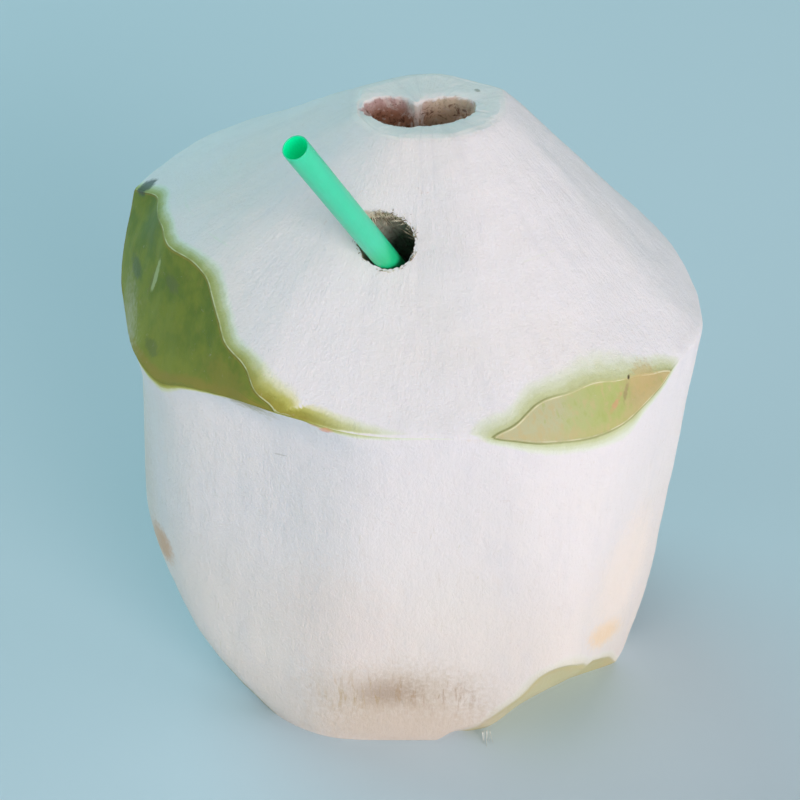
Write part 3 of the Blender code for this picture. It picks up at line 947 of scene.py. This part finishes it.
def marks_layer(nodes, at, colour):
    """The marks, each a ragged soft spot in space."""
    spots = nodes.noise(at.place, 0.9)
    streaks = nodes.noise(nodes.scale(at.flow, (0.9, 0.9, 0.16)), 1.0, 3.0, 0.6, 0.8)
    streaks = nodes.ease(streaks, 0.50, 0.66)
    for centre, sizes, lean, paint, strength, ragged, softness, streaky in MARKS:
        inputs = {"Vector": at.place, "Location": centre, "Scale": sizes,
                  "Rotation": (0.0, np.radians(lean), 0.0)}
        offset = nodes.node("ShaderNodeMapping", inputs, vector_type="TEXTURE").outputs["Vector"]
        length = nodes.node("ShaderNodeVectorMath", {0: offset}, operation="LENGTH")
        distance = nodes.plus(length.outputs["Value"], nodes.swing(spots, 2.0 * ragged))
        inside = 1.0 - softness * SOFT_INSIDE
        outside = 1.0 + softness * SOFT_OUTSIDE
        share = nodes.ease(distance, inside, outside, strength, 0.0)
        if streaky:
            share = nodes.times(share, streaks)
        colour = nodes.mix(share, colour, paint)
    return colour


def tip_layer(nodes, at, colour):
    """Bared tip tissue in the hollow of the top, pinker on the left and browner on the right."""
    folds = nodes.noise(nodes.scale(at.place, (0.45, 0.8, 0.8)), 0.9, 4.0, 0.65, 0.8)
    blots = nodes.noise(at.place, 0.28, 3.0, 0.6, 0.6)
    left = nodes.tint((196, 166, 162), (168, 118, 94), at.hollow, 1.0, 4.2)
    right = nodes.tint((204, 188, 166), (206, 172, 148), at.hollow, 1.0, 4.6)
    tip = nodes.tint(left, right, at.across, -3.0, 3.5)
    tip = nodes.tint(tip, (222, 206, 200), blots, 0.52, 0.64, 0.0, 0.7)
    tip = nodes.tint(tip, (214, 192, 184), folds, 0.54, 0.66, 0.0, 0.7)
    tip = nodes.tint(tip, (110, 72, 54), folds, 0.34, 0.46, 0.85, 0.0)
    tip = nodes.tint(tip, (112, 86, 70), at.grain, 0.5, 0.7, 0.0, 0.4)
    shallow = nodes.ease(at.hollow, 1.0, 2.6, 0.85, 0.0)
    on_tongue = nodes.times(nodes.ease(at.tongue, 0.2, 0.6), shallow)
    tip = nodes.mix(on_tongue, tip, (206, 200, 192))
    sinking = nodes.plus(at.hollow, nodes.swing(folds, 2.6))
    return nodes.tint(colour, tip, sinking, 0.35, 1.1)


def bore_layer(nodes, at, colour):
    """Wall of the drinking hole: tan at its mouth, and grey deep down, where it is dark."""
    ragged = nodes.noise(nodes.scale(at.place, (1.0, 1.0, 0.5)), 1.2)
    level = nodes.plus(at.sunk, nodes.times(ragged, 2.0))
    wall = nodes.ramp(level, (0, 214, 208, 190), (1.8, 180, 168, 138), (3.6, 140, 134, 112),
                      (7, 158, 162, 146), (14, 160, 170, 156))
    wall = nodes.tint(wall, (110, 84, 74), ragged, 0.45, 0.65, 0.0, 0.45)
    return nodes.tint(colour, wall, at.sunk, 0.3, 0.9)


def husk_bump(nodes, at):
    """Fine fibres, grain and pits as bump, less of it on the skin."""
    fuzz = nodes.noise(nodes.scale(at.flow, (1.0, 1.0, 0.45)), 0.8, 4.0, 0.7, 0.8)
    relief = nodes.plus(nodes.times(at.streaks, 0.4), at.grain)
    relief = nodes.plus(relief, nodes.times(fuzz, 1.3))
    calm = nodes.ease(at.edge, -0.2, 0.4, 1.0, 0.25)
    fibres = nodes.bump(nodes.times(relief, calm), 0.3 * MM, 0.55)
    pits = nodes.noise(at.place, 3.5, 2.0, 0.6)
    return nodes.bump(nodes.times(pits, calm), 0.1 * MM, 0.45, Normal=fibres)


def husk_material():
    nodes = Nodes("husk_surface")
    at = husk_facts(nodes)
    colour = husk_white(nodes, at)
    for layer in (green_layer, skin_layer, skin_edges, marks_layer, tip_layer, bore_layer):
        colour = layer(nodes, at, colour)
    nodes.surface("Base Color", colour)
    dull = nodes.ease(at.edge, -0.1, 0.1, 0.80, 0.50)
    nodes.surface("Roughness", nodes.plus(dull, nodes.times(at.grain, 0.1)))
    nodes.surface("Specular IOR Level", 0.25)
    nodes.surface("Subsurface Weight", 0.2)
    nodes.surface("Subsurface Radius", (1.0, 0.8, 0.6))
    nodes.surface("Subsurface Scale", 1.2 * MM)
    nodes.surface("Normal", husk_bump(nodes, at))
    return nodes.material


def straw_material():
    """Green plastic that lets light through. Where it goes into the drinking hole it is painted a
    deeper green, as painted shade. Inside, near its open end, it is painted a brighter green with a
    painted glow, standing in for light that comes through the plastic."""
    nodes = Nodes("straw_plastic")
    inner = nodes.attribute("inner")
    from_end = nodes.attribute("from_end")
    haze = nodes.noise(nodes.scale(nodes.place(), (0.5, 0.5, 0.12)), 1.0, 2.0, 0.5)
    colour = nodes.mix(haze, (52, 204, 156), (66, 212, 166))
    # painted shade: the straw turns a deeper green from about 8 mm above the drinking hole's mouth to
    # just inside it
    colour = nodes.tint(colour, (14, 190, 120), from_end, 37.0, 46.0, 0.0, 0.8)
    # painted light: the inner wall is a brighter, deeper green than the outside, for light coming
    # through the plastic
    nodes.surface("Base Color", nodes.mix(inner, colour, (4, 206, 142)))
    nodes.surface("Roughness", nodes.plus(0.30, nodes.times(haze, 0.12)))
    # painted glow: the inner wall glows near the open end, fading out 14 mm down, though nothing there
    # is a lamp
    nodes.surface("Emission Color", srgb(0, 186, 142))
    painted_glow = nodes.ease(from_end, 0.0, 14.0, 0.42, 0.0)
    nodes.surface("Emission Strength", nodes.times(inner, painted_glow))
    nodes.surface("Subsurface Weight", 0.35)
    nodes.surface("Subsurface Radius", (0.4, 1.0, 0.7))
    nodes.surface("Subsurface Scale", 1.0 * MM)
    nodes.surface("Normal", nodes.bump(haze, 0.04 * MM, 0.3))
    return nodes.material


def fibre_material(name, pale, dark):
    nodes = Nodes(name)
    mottle = nodes.noise(nodes.place(), 0.7, 2.0, 0.5)
    nodes.surface("Base Color", nodes.tint(dark, pale, mottle, 0.35, 0.65))
    nodes.surface("Roughness", 0.7)
    return nodes.material


def floor_material():
    nodes = Nodes("floor_paint")
    mottle = nodes.noise(nodes.place(), 0.01, 2.0, 0.5)
    nodes.surface("Base Color", nodes.mix(mottle, (203, 221, 230), (206, 223, 232)))
    nodes.surface("Roughness", 0.9)
    return nodes.material


# Stage, light and camera

FLOOR_REACH = 8.0
CAMERA_LENS = 97.9
CAMERA_ELEVATION = 34.86
CAMERA_TARGET = (-0.00474, 0.0, 0.06178)
CAMERA_DISTANCE = 0.47717
LIGHT_TARGET = (0.0, 0.0, 0.06)
LAMP_DISTANCE = 2.2
# Name, azimuth right of the front, elevation, size, power and colour
LAMPS = (
    ("key", 30.0, 8.0, 1.6, 48.0, (1.0, 0.845, 0.85)),
    ("right", 80.0, 15.0, 1.8, 9.5, (0.80, 0.86, 1.0)),
    ("left", -70.0, 15.0, 1.8, 12.5, (0.83, 0.88, 1.0)),
    ("back", -140.0, 35.0, 1.8, 19.0, (0.41, 0.92, 1.0)),
)
ROOM_COLOUR = (0.82, 0.985, 0.965, 1.0)
ROOM_STRENGTH = 0.335


def make_floor():
    """Plain flat floor, large enough to fill every view from above."""
    ends = (-FLOOR_REACH, FLOOR_REACH)
    points = [(x, y, 0.0) for x in ends for y in ends]
    mesh = bpy.data.meshes.new("floor")
    mesh.from_pydata(points, [], [(0, 2, 3, 1)])
    mesh.materials.append(floor_material())
    floor = add_object("floor", mesh)


def add_light(name, place, target, size, power, colour):
    data = bpy.data.lights.new(name, "AREA")
    data.shape = "DISK"
    data.size = size
    data.energy = power
    data.color = colour
    light = add_object(name, data)
    light.location = place
    light.rotation_euler = (target - place).to_track_quat("-Z", "Y").to_euler()


def make_light():
    """Soft studio light, most of it from the front and the right, low down."""
    world = bpy.data.worlds.new("soft_light")
    world.use_nodes = True
    background = world.node_tree.nodes["Background"]
    background.inputs["Color"].default_value = ROOM_COLOUR
    background.inputs["Strength"].default_value = ROOM_STRENGTH
    bpy.context.scene.world = world
    aim = Vector(LIGHT_TARGET)
    for name, azimuth, elevation, size, power, colour in LAMPS:
        turn = np.radians(azimuth)
        lift = np.radians(elevation)
        way = Vector((np.sin(turn) * np.cos(lift), -np.cos(turn) * np.cos(lift), np.sin(lift)))
        add_light(name, aim + way * LAMP_DISTANCE, aim, size, power, colour)


def make_camera():
    data = bpy.data.cameras.new("camera")
    data.sensor_width = 36.0
    data.lens = CAMERA_LENS
    data.clip_start = 0.01
    data.clip_end = 20.0
    camera = add_object("camera", data)
    elevation = np.radians(CAMERA_ELEVATION)
    back = Vector((0.0, -np.cos(elevation), np.sin(elevation)))
    camera.location = Vector(CAMERA_TARGET) + back * CAMERA_DISTANCE
    camera.rotation_euler = back.to_track_quat("Z", "Y").to_euler()
    bpy.context.scene.camera = camera


def finish_piece(piece, material, slot_name, *nodes_replaced):
    piece.data.materials.append(material)
    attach(piece, "root")
    if nodes_replaced:
        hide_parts(*nodes_replaced)


make_camera()
make_light()
make_floor()
finish_piece(make_husk(), husk_material(), "husk", "coconut")
finish_piece(make_straw(), straw_material(), "straw", "straw")
fibre = fibre_material("fibre", (224, 214, 190), (104, 90, 66))
finish_piece(make_bore_fibres(), fibre, "husk")
wisp = fibre_material("wisp", (222, 226, 222), (198, 202, 194))
finish_piece(make_foot_wisps(), wisp, "husk")
bpy.context.scene.view_settings.view_transform = "Standard"
